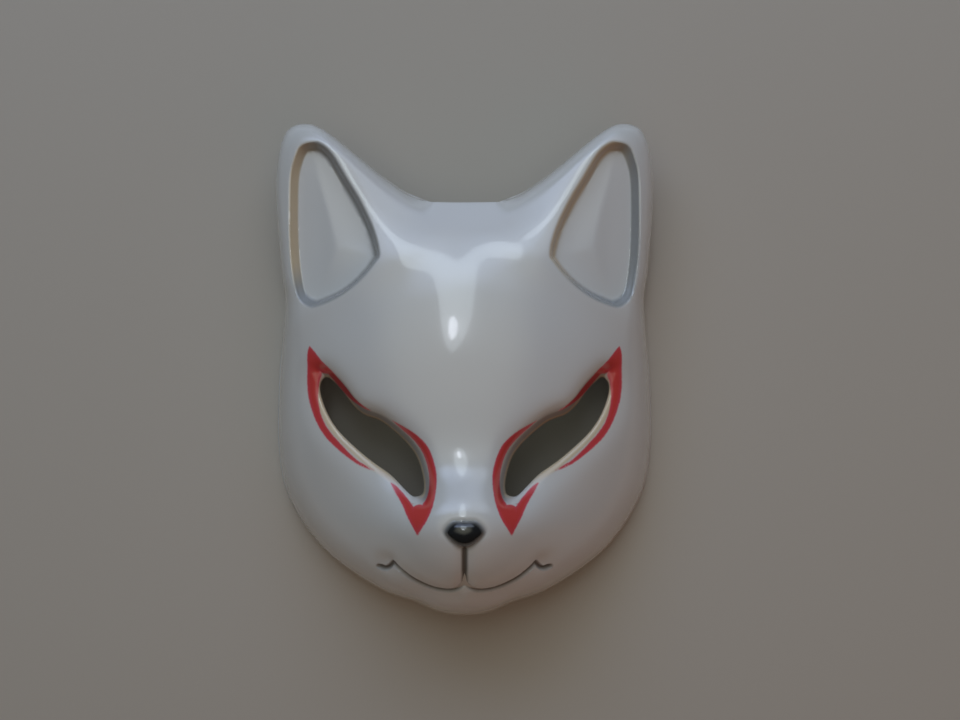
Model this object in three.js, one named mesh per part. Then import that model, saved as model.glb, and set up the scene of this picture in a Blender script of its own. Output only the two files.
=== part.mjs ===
// A moulded fox mask, lying on its rim with the face up.
// Millimetres, +Z towards the viewer of the face, +Y towards the ears, +X across the face.
// The origin is at the bottom centre of the mask's box, on the plane that the rim lies on.
//
// The mask is one thin skin. Its outer side is a smooth height field over a plan that is unrolled
// past the outline, so that the same grid of points also covers the steep sides. The inner side
// is the same skin set back by the wall, and strips along the rim and the holes close the solid.

import * as THREE from "three";
import { mergeVertices } from "three/addons/utils/BufferGeometryUtils.js";

// Driving dimensions
const WIDTH = 188;
const HEIGHT = 243;
const WALL = 3;
const FOREHEAD_DEPTH = 70; // rim plane to the front of the forehead
const DOME_DROP = 45; // forehead to the shoulder of the cheeks
const MUZZLE_RISE = 23;
const NOSE_RISE = 2.6;

// Rim and edges
const EAR_RIM_HEIGHT = 25; // the rim behind the ears, above the plane that the mask lies on
const LIP_HEIGHT = 7; // the upright band along the rim
const LIP_FLARE = 2;
const LIP_SHARE = 0.14; // of the turned edge's length, unrolled
const EDGE_START_ON_FACE = 0.8; // where the skin starts to turn, in shares of the outline's radius
const EDGE_START_ON_EARS = 0.85;
const SIDE_STRETCH = 0.75; // unrolled length of the side for each millimetre that it drops

// Ears
const EAR_DEPTH = 55; // rim plane to the front of the ear at its inner foot
const EAR_LEAN_OUT = 0.3; // fall of the ear's front towards the outside
const EAR_LEAN_UP = 0.06;
const EAR_RIDGE_FALL = 0.8; // fall from the ear's ridge to the valley between the ears
const RECESS_DEPTH = 4.4;
const RECESS_WALL = 3.4; // width of the wall round the recess, seen from the front
const PANEL_RISE = 1.6; // how far the middle of the recess stands over its edge
const PANEL_SLOPE = 12;

// Eyes, nose and mouth
const EYE_ROLL = 3.4; // width of the rounded edge round each eye, seen from the front
const SOCKET_DEPTH = 2.6;
const SOCKET_WIDTH = 7;
const NOSE_EDGE = 3.4;
const GROOVE_WIDTH = 2.6;
const GROOVE_DEPTH = 1.4;
const LOWER_LIP_DROP = 0.9;
const LOWER_LIP_WIDTH = 9;

// Cord holes, one on each temple
const CORD_HOLE_DIAMETER = 4;
const CORD_HOLE_Y = 6;
const CORD_HOLE_SETBACK = 12; // from the rim, along the skin
const CORD_HOLE_SIDES = 10;

// Grid
const OUTER_SPACING = 5.6;
const INNER_SPACING = 8.5;
const RIM_SPACING = 5;
const EYE_SPACING = 3.5;
const RECESS_SPACING = 3.2;
const FINE_SPACING = 2;
const OUTER_EDGE_ROWS = 5; // rows of points round the turned edge
const INNER_EDGE_ROWS = 2;
const ROLL_STEPS = 3; // rows of faces round the rounded edge of each eye
const ROW_CLEARANCE = 0.4; // between points, in shares of their spacing
const EDGE_CLEARANCE = 0.5;
const FILL_CLEARANCE = 0.62;
const SAMPLES_PER_PIECE = 8; // of a curve, from one of its given points to the next
const ON_AXIS = 1e-6;

// The plan, in shares of half the width and half the height
const halfWidth = WIDTH / 2;
const halfHeight = HEIGHT / 2;
const place = ([x, y]) => new THREE.Vector2(x * halfWidth, y * halfHeight);
const mirrored = (p) => new THREE.Vector2(-p.x, p.y);

const CROWN_CORNER = [0.171, 0.67]; // end of the straight edge between the ears
const OUTLINE = [
  CROWN_CORNER,
  [0.42, 0.788],
  [0.689, 0.956],
  [0.816, 1],
  [0.933, 0.955],
  [0.981, 0.754],
  [0.976, 0.434],
  [0.961, 0.309],
  [0.981, 0.123],
  [1, -0.065],
  [1, -0.32],
  [0.94, -0.526],
  [0.753, -0.734],
  [0.469, -0.886],
  [0.262, -0.942],
  [0.13, -0.985],
  [0, -0.998],
];
const EYE = [
  [0.725, -0.019],
  [0.736, -0.074],
  [0.702, -0.152],
  [0.643, -0.221],
  [0.559, -0.282],
  [0.466, -0.337],
  [0.375, -0.38],
  [0.32, -0.416],
  [0.276, -0.445],
  [0.25, -0.451],
  [0.222, -0.425],
  [0.219, -0.382],
  [0.243, -0.321],
  [0.287, -0.276],
  [0.357, -0.228],
  [0.434, -0.187],
  [0.527, -0.161],
  [0.585, -0.123],
  [0.633, -0.077],
  [0.676, -0.043],
];
const RECESS = [
  [0.762, 0.897],
  [0.826, 0.88],
  [0.862, 0.822],
  [0.88, 0.753],
  [0.884, 0.62],
  [0.882, 0.487],
  [0.869, 0.384],
  [0.843, 0.3],
  [0.785, 0.254],
  [0.726, 0.251],
  [0.612, 0.286],
  [0.512, 0.343],
  [0.432, 0.413],
  [0.409, 0.454],
  [0.44, 0.552],
  [0.505, 0.66],
  [0.571, 0.745],
  [0.65, 0.846],
  [0.712, 0.89],
];
const NOSE = [
  [0, -0.537],
  [0.057, -0.541],
  [0.092, -0.576],
  [0.065, -0.608],
  [0.026, -0.631],
  [0, -0.638],
];
const PHILTRUM = [
  [0, -0.648],
  [0, -0.79],
];
const MOUTH = [
  [0, -0.79],
  [0.028, -0.807],
  [0.068, -0.816],
  [0.13, -0.814],
  [0.195, -0.801],
  [0.255, -0.776],
  [0.307, -0.746],
  [0.355, -0.714],
];
const MOUTH_CORNER = [
  [0.355, -0.714],
  [0.387, -0.739],
  [0.425, -0.733],
];

// Smooth steps and joins

const share = (from, to, x) => (x >= to ? 1 : Math.max(0, (x - from) / (to - from)));
const mix = (a, b, t) => a + (b - a) * t;
const degrees = (d) => (d * Math.PI) / 180;

function step(from, to, x) {
  const t = share(from, to, x);
  return t * t * t * (t * (6 * t - 15) + 10);
}

// Nought below zero and x above it, with a soft bend between.
const ramp = (x, softness) => (x + Math.hypot(x, softness)) / 2;
const smoothMax = (a, b, softness) => b + ramp(a - b, softness);
const bell = (x, width) => Math.exp(-((x / width) ** 2));

// Curves and distances in the plan

function curveOf(shares, closed = false) {
  const points = shares.map(place);
  const n = points.length;
  if (!closed) return new THREE.SplineCurve(points).getPoints(n * SAMPLES_PER_PIECE);
  const looped = [points[n - 1], ...points, points[0], points[1]];
  const curve = new THREE.SplineCurve(looped);
  const samples = [];
  for (let i = 0; i < n * SAMPLES_PER_PIECE; i++) {
    samples.push(curve.getPoint((1 + i / SAMPLES_PER_PIECE) / (looped.length - 1)));
  }
  return samples;
}

function distanceToPath(p, path, closed) {
  let best = Infinity;
  const last = closed ? path.length : path.length - 1;
  for (let i = 0; i < last; i++) {
    const a = path[i];
    const b = path[(i + 1) % path.length];
    const dx = b.x - a.x;
    const dy = b.y - a.y;
    const t = share(0, dx * dx + dy * dy, (p.x - a.x) * dx + (p.y - a.y) * dy);
    best = Math.min(best, Math.hypot(p.x - a.x - t * dx, p.y - a.y - t * dy));
  }
  return best;
}

function inside(p, loop) {
  let within = false;
  for (let i = 0, j = loop.length - 1; i < loop.length; j = i++) {
    const a = loop[i];
    const b = loop[j];
    if (a.y > p.y !== b.y > p.y && p.x < a.x + ((p.y - a.y) * (b.x - a.x)) / (b.y - a.y)) {
      within = !within;
    }
  }
  return within;
}

// Positive inside the loop.
const depthInside = (p, loop) => distanceToPath(p, loop, true) * (inside(p, loop) ? 1 : -1);

// Points every so often along a path, at most the spacing apart.
function spaced(path, spacing, closed) {
  const ends = closed ? [...path, path[0]] : path;
  const along = [0];
  for (let i = 1; i < ends.length; i++) along.push(along[i - 1] + ends[i].distanceTo(ends[i - 1]));
  const total = along[along.length - 1];
  const count = Math.ceil(total / spacing);
  const found = [];
  let i = 1;
  for (let k = 0; k < (closed ? count : count + 1); k++) {
    const s = (total * k) / count;
    while (i < along.length - 1 && along[i] < s) i++;
    found.push(ends[i - 1].clone().lerp(ends[i], share(along[i - 1], along[i], s)));
  }
  return found;
}

// The path moved to its left by a distance. Loops run clockwise, so this is outwards for them.
function beside(path, distance, closed) {
  const n = path.length;
  return path.map((p, i) => {
    const next = path[closed ? (i + 1) % n : Math.min(i + 1, n - 1)];
    const last = path[closed ? (i + n - 1) % n : Math.max(i - 1, 0)];
    const along = next.clone().sub(last).normalize();
    return new THREE.Vector2(p.x - along.y * distance, p.y + along.x * distance);
  });
}

// The outline as a radius for each angle about a centre low on the forehead

const centreY = -0.066 * halfHeight;
const TABLE_STEPS = 360; // from straight down to straight up
const OUTLINE_SAMPLES = 2000;
const SMOOTHING_PASSES = 3;
const crownY = CROWN_CORNER[1] * halfHeight;
const crownAngle = Math.atan2(crownY - centreY, CROWN_CORNER[0] * halfWidth);
const angleOf = (i) => degrees(-90 + (180 * i) / TABLE_STEPS);

function outlineTable() {
  const chinNeighbour = mirrored(place(OUTLINE[OUTLINE.length - 2]));
  const curve = new THREE.SplineCurve([...OUTLINE.map(place), chinNeighbour]);
  const samples = curve
    .getPoints(OUTLINE_SAMPLES)
    .filter((p) => p.x >= 0)
    .map((p) => [Math.atan2(p.y - centreY, p.x), Math.hypot(p.x, p.y - centreY)])
    .sort((a, b) => a[0] - b[0]);
  let table = [];
  for (let i = 0, j = 1; i <= TABLE_STEPS; i++) {
    const angle = angleOf(i);
    if (angle >= crownAngle) {
      table.push((crownY - centreY) / Math.sin(angle));
      continue;
    }
    while (j < samples.length - 1 && samples[j][0] < angle) j++;
    const [before, after] = [samples[j - 1], samples[j]];
    table.push(mix(before[1], after[1], share(before[0], after[0], angle)));
  }
  for (let pass = 0; pass < SMOOTHING_PASSES; pass++) {
    table = table.map((r, i) => {
      const below = table[i === 0 ? 1 : i - 1];
      const above = table[i === TABLE_STEPS ? i - 1 : i + 1];
      return (below + 2 * r + above) / 4;
    });
  }
  return table;
}

const table = outlineTable();

function outlineRadius(angle) {
  const at = share(degrees(-90), degrees(90), angle) * TABLE_STEPS;
  const i = Math.min(TABLE_STEPS - 1, Math.floor(at));
  return mix(table[i], table[i + 1], at - i);
}

// The height of the skin over the plan, without its edges and its fine relief

const DOME_POWER = 2.4;
const domeAcross = halfWidth;
const domeUp = 0.772 * halfHeight;
const domeDown = 1.175 * halfHeight;
const MUZZLE_POWER = 2.5;
const muzzle = {
  y: -0.609 * halfHeight,
  across: 0.33 * halfWidth,
  up: 0.16 * halfHeight,
  down: 0.25 * halfHeight,
};
const EAR_SOFTNESS = 6;
const EAR_BLEND = 18; // softness of the join between the ears and the head
const earFoot = place([0.404, 0.478]);
const earRidge = { point: place([0.37, 0.466]), across: new THREE.Vector2(-0.877, 0.48) };
const earBase = { point: place([0.34, 0.415]), across: new THREE.Vector2(-0.512, -0.858) };

function headHeight(x, y) {
  const reach = y > 0 ? domeUp : domeDown;
  const dome = DOME_DROP * Math.hypot(x / domeAcross, y / reach) ** DOME_POWER;
  const muzzleReach = y > muzzle.y ? muzzle.up : muzzle.down;
  const off = Math.hypot(x / muzzle.across, (y - muzzle.y) / muzzleReach);
  return FOREHEAD_DEPTH - dome + MUZZLE_RISE * Math.exp(-(off ** MUZZLE_POWER) / 2);
}

function earHeight(x, y) {
  const p = new THREE.Vector2(Math.hypot(x, EAR_SOFTNESS), y);
  const front = EAR_DEPTH - EAR_LEAN_OUT * (p.x - earFoot.x) + EAR_LEAN_UP * (p.y - earFoot.y);
  const pastRidge = p.clone().sub(earRidge.point).dot(earRidge.across);
  const pastBase = p.clone().sub(earBase.point).dot(earBase.across);
  return front - EAR_RIDGE_FALL * ramp(pastRidge, EAR_SOFTNESS) - ramp(pastBase, EAR_SOFTNESS);
}

const skinHeight = (x, y) => smoothMax(headHeight(x, y), earHeight(x, y), EAR_BLEND);

// How the skin turns over its edge, for each angle about the centre, from level with it upwards

const CROWN_ANGLES = [66, 80].map(degrees); // the turned edge fades out here, below the crown
const RIM_ANGLES = [20, 56].map(degrees); // the rim rises here, from the temples to the ears
const EAR_ANGLES = [10, 40].map(degrees); // the turn gets narrower here, up to the ears

function edgeAt(angle) {
  const radius = outlineRadius(angle);
  const crown = step(...CROWN_ANGLES, angle);
  const rim = EAR_RIM_HEIGHT * step(...RIM_ANGLES, angle);
  const flare = LIP_FLARE * (1 - crown);
  const onEars = step(...EAR_ANGLES, angle);
  const start = radius * mix(EDGE_START_ON_FACE, EDGE_START_ON_EARS, onEars);
  const x = radius * Math.cos(angle);
  const y = centreY + radius * Math.sin(angle);
  const drop = Math.max(0, skinHeight(x, y) - rim);
  const reach = radius + SIDE_STRETCH * drop * (1 - crown);
  const lip = reach - LIP_SHARE * (1 - crown) * (reach - start);
  return { radius, crown, rim, flare, start, reach, lip };
}

// The unrolled plan (u, v) to the skin. Up to the start of the edge it is the plan itself.
function skinPoint(u, v) {
  const angle = Math.atan2(v - centreY, Math.abs(u));
  const rho = Math.hypot(u, v - centreY);
  const edge = edgeAt(angle);
  const turned = share(edge.start, edge.lip, rho);
  const onLip = share(edge.lip, edge.reach, rho);
  const over = mix(Math.sin((turned * Math.PI) / 2), turned, edge.crown);
  const bend = edge.radius - edge.flare;
  let r = rho;
  if (rho > edge.start) r = mix(edge.start, bend, over) + edge.flare * onLip ** 2;
  const x = Math.sign(u) * r * Math.cos(angle);
  const y = centreY + r * Math.sin(angle);
  const full = skinHeight(x, y);
  const foot = edge.rim + LIP_HEIGHT;
  const kept = mix(Math.sqrt(1 - over ** 3), 1, edge.crown);
  const z = foot + (full - foot) * kept - LIP_HEIGHT * onLip * (1 - edge.crown);
  return new THREE.Vector3(x, y, z);
}

const BISECTIONS = 40;

// The other way: the place on the unrolled plan of a point of the plan.
function unrolled(p) {
  const angle = Math.atan2(p.y - centreY, p.x);
  const radius = Math.hypot(p.x, p.y - centreY);
  const edge = edgeAt(angle);
  if (radius <= edge.start) return p.clone();
  const bend = edge.radius - edge.flare;
  const over = share(edge.start, bend, radius);
  let [low, high] = [0, 1];
  for (let i = 0; i < BISECTIONS; i++) {
    const middle = (low + high) / 2;
    if (mix(Math.sin((middle * Math.PI) / 2), middle, edge.crown) < over) low = middle;
    else high = middle;
  }
  const rho = mix(edge.start, edge.lip, low);
  return new THREE.Vector2(rho * Math.cos(angle), centreY + rho * Math.sin(angle));
}

const NUDGE = 0.05;

function skinFrame(u, v) {
  const alongU = skinPoint(u + NUDGE, v).sub(skinPoint(u - NUDGE, v));
  const alongV = skinPoint(u, v + NUDGE).sub(skinPoint(u, v - NUDGE));
  alongU.divideScalar(2 * NUDGE);
  alongV.divideScalar(2 * NUDGE);
  return { alongU, alongV, normal: alongU.clone().cross(alongV).normalize() };
}

// Relief, as heights along the skin's normal

const eyeLoop = curveOf(EYE, true);
const recessLoop = curveOf(RECESS, true);
const noseLoop = curveOf([...NOSE, ...NOSE.slice(1, -1).reverse().map(([x, y]) => [-x, y])], true);
const noseEdge = noseLoop.slice(0, noseLoop.length / 2 + 1);
const philtrumPath = curveOf(PHILTRUM);
const mouthPath = curveOf(MOUTH);
const cornerPath = curveOf(MOUTH_CORNER);
const mouthPaths = [philtrumPath, mouthPath, cornerPath];

function socketRelief(p) {
  const away = Math.max(0, -depthInside(p, eyeLoop));
  return -SOCKET_DEPTH * bell(away, SOCKET_WIDTH);
}

function recessRelief(p, margin) {
  const within = depthInside(p, recessLoop) + margin;
  const panel = PANEL_RISE * step(RECESS_WALL, RECESS_WALL + PANEL_SLOPE, within);
  return panel - RECESS_DEPTH * step(0, RECESS_WALL, within);
}

function mouthRelief(p) {
  const away = Math.min(...mouthPaths.map((path) => distanceToPath(p, path, false)));
  const cut = 1 - step(0, GROOVE_WIDTH / 2, away);
  const across = distanceToPath(p, mouthPath, false);
  const lowerLip = p.y < mouthPath[0].y && across < LOWER_LIP_WIDTH && belowMouth(p);
  const drop = lowerLip ? LOWER_LIP_DROP * (1 - step(0, LOWER_LIP_WIDTH, across)) : 0;
  return -GROOVE_DEPTH * cut - drop;
}

function belowMouth(p) {
  const nearest = mouthPath.reduce((a, b) => (Math.abs(a.x - p.x) < Math.abs(b.x - p.x) ? a : b));
  return p.y < nearest.y;
}

function outerRelief(x, y) {
  const p = new THREE.Vector2(Math.abs(x), y);
  const nose = NOSE_RISE * step(0, NOSE_EDGE, depthInside(p, noseLoop));
  return socketRelief(p) + recessRelief(p, 0) + nose + mouthRelief(p);
}

// Inside, the wall follows the sockets and bulges behind the recesses.
function innerRelief(x, y) {
  const p = new THREE.Vector2(Math.abs(x), y);
  return socketRelief(p) + recessRelief(p, WALL);
}

function outerPoint(u, v) {
  const base = skinPoint(u, v);
  return base.clone().addScaledVector(skinFrame(u, v).normal, outerRelief(base.x, base.y));
}

// The edges of the eyes run straight back.
function eyeEdge(p, depth) {
  const point = outerPoint(p.x, p.y);
  return point.setZ(point.z - depth);
}

// Near the rim the wall is measured level, so that the rim is flat underneath.
function innerPoint(u, v) {
  const base = skinPoint(u, v);
  const edge = edgeAt(Math.atan2(v - centreY, Math.abs(u)));
  const level = step(edge.start, edge.lip, Math.hypot(u, v - centreY)) * (1 - edge.crown);
  const { normal } = skinFrame(u, v);
  const sideways = normal.clone().setZ(mix(normal.z, 0, level)).normalize();
  return base
    .clone()
    .addScaledVector(normal, innerRelief(base.x, base.y))
    .addScaledVector(sideways, -WALL);
}

// Joining points into triangles

// Delaunay triangles of points in the plane, by adding them one at a time from left to right.
function triangulate(points) {
  const JITTER = 0.004; // keeps four points from lying on one circle
  const at = points.map((p, i) => ({
    x: p.x + JITTER * Math.sin(12.9 * i),
    y: p.y + JITTER * Math.sin(78.2 * i),
  }));
  const far = 10 * (WIDTH + HEIGHT);
  const n = points.length;
  at.push({ x: -far, y: -far }, { x: far, y: -far }, { x: 0, y: far });
  const circle = (i, j, k) => {
    const [a, b, c] = [at[i], at[j], at[k]];
    const [bx, by, cx, cy] = [b.x - a.x, b.y - a.y, c.x - a.x, c.y - a.y];
    const d = 2 * (bx * cy - by * cx);
    const x = (cy * (bx * bx + by * by) - by * (cx * cx + cy * cy)) / d;
    const y = (bx * (cx * cx + cy * cy) - cx * (bx * bx + by * by)) / d;
    return { i, j, k, x: a.x + x, y: a.y + y, r2: x * x + y * y };
  };
  let open = [circle(n, n + 1, n + 2)];
  const closed = [];
  const order = [...Array(n).keys()].sort((a, b) => at[a].x - at[b].x);
  for (const p of order) {
    const edges = new Map();
    const kept = [];
    for (const t of open) {
      const dx = at[p].x - t.x;
      const dy = at[p].y - t.y;
      if (dx > 0 && dx * dx > t.r2) closed.push(t);
      else if (dx * dx + dy * dy > t.r2) kept.push(t);
      else {
        for (const [a, b] of [[t.i, t.j], [t.j, t.k], [t.k, t.i]]) {
          const key = a < b ? `${a},${b}` : `${b},${a}`;
          edges.set(key, edges.has(key) ? null : [a, b]);
        }
      }
    }
    for (const edge of edges.values()) if (edge) kept.push(circle(edge[0], edge[1], p));
    open = kept;
  }
  return [...closed, ...open]
    .filter((t) => t.i < n && t.j < n && t.k < n)
    .map(({ i, j, k }) => {
      const [a, b, c] = [points[i], points[j], points[k]];
      const turn = (b.x - a.x) * (c.y - a.y) - (b.y - a.y) * (c.x - a.x);
      return turn > 0 ? [i, j, k] : [i, k, j];
    });
}

// The points of one side of the right half, holes and rim first, then what fills the space.
class Sheet {
  constructor(rim, holes, spacing) {
    this.points = [];
    this.spacing = spacing;
    this.holes = holes;
    this.rim = this.addAll(rim);
    this.loops = holes.map((hole) => this.addAll(hole));
  }

  add(p) {
    this.points.push(p);
    return this.points.length - 1;
  }

  addAll(list) {
    return list.map((p) => this.add(p));
  }

  // Adds the points that lie on this half, on the skin and clear of the points so far.
  addClear(list, clearance) {
    for (const p of list) {
      if (Math.abs(p.x) < clearance / 2) p.x = 0;
      if (p.x < 0 || !this.within(p)) continue;
      if (this.points.every((q) => q.distanceTo(p) > clearance)) this.add(p);
    }
  }

  within(p) {
    const reach = edgeAt(Math.atan2(p.y - centreY, p.x)).reach;
    return Math.hypot(p.x, p.y - centreY) < reach && !this.holes.some((h) => inside(p, h));
  }

  // Rows of points beside a path of the plan, drawn on the unrolled plan.
  addRows(path, offsets, closed, spacing) {
    const stations = spaced(path, spacing, closed);
    for (const offset of offsets) {
      this.addClear(beside(stations, offset, closed).map(unrolled), ROW_CLEARANCE * spacing);
    }
  }

  // Rows of points round the turned edge.
  addEdgeRows(count) {
    for (let k = 0; k < count; k++) {
      const row = this.points.slice(0, this.rim.length).map((p) => {
        const angle = Math.atan2(p.y - centreY, p.x);
        const edge = edgeAt(angle);
        const rho = mix(edge.start, edge.lip, k / (count - 1));
        const x = p.x < ON_AXIS ? 0 : rho * Math.cos(angle);
        return new THREE.Vector2(x, centreY + rho * Math.sin(angle));
      });
      this.addClear(row, EDGE_CLEARANCE * this.spacing);
    }
  }

  fill() {
    const row = (this.spacing * Math.sqrt(3)) / 2;
    const clearance = FILL_CLEARANCE * this.spacing;
    const low = -2 * halfHeight;
    for (let k = 0; low + k * row < -low; k++) {
      const line = [new THREE.Vector2(0, low + k * row)];
      for (let u = ((k % 2) + 1) * (this.spacing / 2); u < 2 * halfWidth; u += this.spacing) {
        line.push(new THREE.Vector2(u, low + k * row));
      }
      this.addClear(line, clearance);
    }
  }

  triangles() {
    const middle = new THREE.Vector2();
    return triangulate(this.points).filter(([i, j, k]) => {
      middle.copy(this.points[i]).add(this.points[j]).add(this.points[k]).divideScalar(3);
      return middle.x > ON_AXIS && this.within(middle);
    });
  }
}

// Stations along the rim of the unrolled plan, from the chin to the crown.
function rimStations() {
  const fine = [];
  for (let i = 0; i <= TABLE_STEPS; i++) {
    const { reach } = edgeAt(angleOf(i));
    const x = i === 0 || i === TABLE_STEPS ? 0 : reach * Math.cos(angleOf(i));
    fine.push(new THREE.Vector2(x, centreY + reach * Math.sin(angleOf(i))));
  }
  return spaced(fine, RIM_SPACING, false);
}

// A true circle on the skin's surface, as a loop of the unrolled plan.
function cordHole() {
  const angle = Math.atan2(CORD_HOLE_Y - centreY, halfWidth);
  const rho = edgeAt(angle).reach - CORD_HOLE_SETBACK;
  const middle = new THREE.Vector2(rho * Math.cos(angle), centreY + rho * Math.sin(angle));
  const { alongU, alongV } = skinFrame(middle.x, middle.y);
  const [uu, uv, vv] = [alongU.dot(alongU), alongU.dot(alongV), alongV.dot(alongV)];
  const across = alongU.clone().normalize();
  const up = alongV.clone().addScaledVector(across, -alongV.dot(across)).normalize();
  const loop = [];
  for (let i = 0; i < CORD_HOLE_SIDES; i++) {
    const turn = (-2 * Math.PI * i) / CORD_HOLE_SIDES;
    const d = across.clone().multiplyScalar(Math.cos(turn)).addScaledVector(up, Math.sin(turn));
    d.multiplyScalar(CORD_HOLE_DIAMETER / 2);
    const [du, dv] = [d.dot(alongU), d.dot(alongV)];
    const scale = uu * vv - uv * uv;
    const u = middle.x + (vv * du - uv * dv) / scale;
    loop.push(new THREE.Vector2(u, middle.y + (uu * dv - uv * du) / scale));
  }
  return loop;
}

// The outer side, with rows of points along its carving
function outerSheet(rim, eye, hole) {
  const sheet = new Sheet(rim, [beside(eye, EYE_ROLL, true), hole], OUTER_SPACING);
  const bank = GROOVE_WIDTH / 2;
  for (const path of mouthPaths) sheet.addRows(path, [0], false, FINE_SPACING);
  for (const path of mouthPaths) sheet.addRows(path, [bank, -bank], false, FINE_SPACING);
  sheet.addRows(noseEdge, [0, -NOSE_EDGE / 2, -NOSE_EDGE], false, FINE_SPACING);
  sheet.addRows(recessLoop, [0, -RECESS_WALL / 2, -RECESS_WALL], true, RECESS_SPACING);
  sheet.addEdgeRows(OUTER_EDGE_ROWS);
  sheet.fill();
  return sheet;
}

function innerSheet(rim, eye, hole) {
  const sheet = new Sheet(rim, [eye, hole], INNER_SPACING);
  sheet.addRows(recessLoop, [WALL, WALL - RECESS_WALL], true, RECESS_SPACING);
  sheet.addEdgeRows(INNER_EDGE_ROWS);
  sheet.fill();
  return sheet;
}

function maskShell() {
  const rim = rimStations();
  const eye = spaced(eyeLoop, EYE_SPACING, true);
  const hole = cordHole();
  const outer = outerSheet(rim, eye, hole);
  const inner = innerSheet(rim, eye, hole);

  const positions = [];
  const faces = [];
  const put = (p) => positions.push(p) - 1;
  const outerAt = outer.points.map((p) => put(outerPoint(p.x, p.y)));
  const atEye = new Set(inner.loops[0]);
  const innerAt = inner.points.map((p, i) =>
    put(atEye.has(i) ? eyeEdge(p, WALL) : innerPoint(p.x, p.y)),
  );
  for (const [i, j, k] of outer.triangles()) faces.push([outerAt[i], outerAt[j], outerAt[k]]);
  for (const [i, j, k] of inner.triangles()) faces.push([innerAt[i], innerAt[k], innerAt[j]]);

  // Faces between two rows of vertices, the first on the left of the second along the rows.
  const join = (left, right, closed) => {
    const count = closed ? left.length : left.length - 1;
    for (let i = 0; i < count; i++) {
      const j = (i + 1) % left.length;
      faces.push([left[i], right[i], right[j]], [left[i], right[j], left[j]]);
    }
  };
  const row = (at, indices) => indices.map((i) => at[i]);
  join(row(outerAt, outer.rim), row(innerAt, inner.rim), false);
  join(row(outerAt, outer.loops[1]), row(innerAt, inner.loops[1]), true);

  const rolled = [row(outerAt, outer.loops[0])];
  for (let i = 1; i < ROLL_STEPS; i++) {
    const turn = ((i / ROLL_STEPS) * Math.PI) / 2;
    const loop = beside(eye, EYE_ROLL * (1 - Math.sin(turn)), true);
    rolled.push(loop.map((p) => put(eyeEdge(p, WALL * (1 - Math.cos(turn))))));
  }
  rolled.push(row(innerAt, inner.loops[0]));
  for (let i = 0; i < ROLL_STEPS; i++) join(rolled[i], rolled[i + 1], true);
  return mirroredSolid(positions, faces);
}

// The half and its mirror image as one closed geometry.
function mirroredSolid(positions, faces) {
  const vertices = [];
  for (const [i, j, k] of faces) {
    for (const v of [i, j, k]) vertices.push(positions[v].x, positions[v].y, positions[v].z);
  }
  for (const [i, j, k] of faces) {
    for (const v of [i, k, j]) vertices.push(-positions[v].x, positions[v].y, positions[v].z);
  }
  const geometry = new THREE.BufferGeometry();
  geometry.setAttribute("position", new THREE.Float32BufferAttribute(vertices, 3));
  const solid = mergeVertices(geometry, 1e-3);
  solid.computeVertexNormals();
  return solid;
}

const whiteLacquer = new THREE.MeshStandardMaterial({
  color: 0xe9ebee,
  roughness: 0.16,
  metalness: 0,
});

const shell = new THREE.Mesh(maskShell(), whiteLacquer);
shell.name = "mask_shell";

const mask = new THREE.Group();
mask.add(shell);

export default mask;
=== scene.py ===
# %% [markdown]
# # A moulded fox mask in white lacquer
#
# The real mask is one thin shell of moulded plastic, sprayed with white lacquer, with brushed red
# strokes round the eyes and an airbrushed black nose. It lies on its rim, and the camera looks
# straight down on its face. The lesson builds the face as one surface, gives it a wall with
# Geometry Nodes, paints it with distances that are stored on the mesh, and lights it softly.

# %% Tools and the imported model
import math

import bpy
import numpy as np
from mathutils import Euler, Matrix, Vector, geometry


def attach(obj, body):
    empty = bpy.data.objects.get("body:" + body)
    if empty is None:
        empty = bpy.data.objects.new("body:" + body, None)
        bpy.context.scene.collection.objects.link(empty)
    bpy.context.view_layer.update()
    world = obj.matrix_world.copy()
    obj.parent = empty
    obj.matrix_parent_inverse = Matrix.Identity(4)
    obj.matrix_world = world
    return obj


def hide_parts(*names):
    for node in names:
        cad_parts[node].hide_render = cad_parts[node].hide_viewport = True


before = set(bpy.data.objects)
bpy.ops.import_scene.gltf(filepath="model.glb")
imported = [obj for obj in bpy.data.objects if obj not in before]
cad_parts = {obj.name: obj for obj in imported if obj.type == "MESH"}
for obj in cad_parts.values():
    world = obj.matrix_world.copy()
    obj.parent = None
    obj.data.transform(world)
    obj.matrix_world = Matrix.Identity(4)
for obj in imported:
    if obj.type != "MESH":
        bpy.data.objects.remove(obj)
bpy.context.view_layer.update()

# %% [markdown]
# ## Sizes
#
# The sizes are the moulder's: width, height, wall, depth of the face, and the small measures of
# the rim, ears, eyes, nose and mouth. Points of the plan are shares of half the width and half
# the height, so that the drawing keeps its proportions when a size changes. Everything here is
# in millimetres, and only the finished mesh is turned into Blender's metres.

# %% Sizes in millimetres
MM = 0.001
WIDTH, HEIGHT, WALL = 188, 243, 3
FOREHEAD_DEPTH, DOME_DROP, MUZZLE_RISE, NOSE_RISE = 70, 45, 23, 2.6
EAR_RIM_HEIGHT, LIP_HEIGHT, LIP_FLARE, LIP_SHARE, RIM_ROUNDING = 25, 7, 2.4, 0.14, 0.7
EDGE_START_ON_FACE, EDGE_START_ON_EARS, SIDE_STRETCH = 0.8, 0.85, 0.75
EAR_DEPTH, EAR_LEAN_OUT, EAR_LEAN_UP, EAR_RIDGE_FALL = 55, 0.3, 0.06, 0.8
SOFT_JOIN, EAR_BLEND = 6, 18
RECESS_DEPTH, RECESS_WALL, SOFT_WALL, PANEL_RISE, PANEL_SLOPE = 5, 2.8, 1.9, 2, 12
EYE_ROLL, SOCKET_DEPTH, SOCKET_WIDTH, NOSE_EDGE = 3.4, 2.6, 7, 3.4
BROW_FALL, BROW_FALL_WIDTH = 3.2, 4.6
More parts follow.
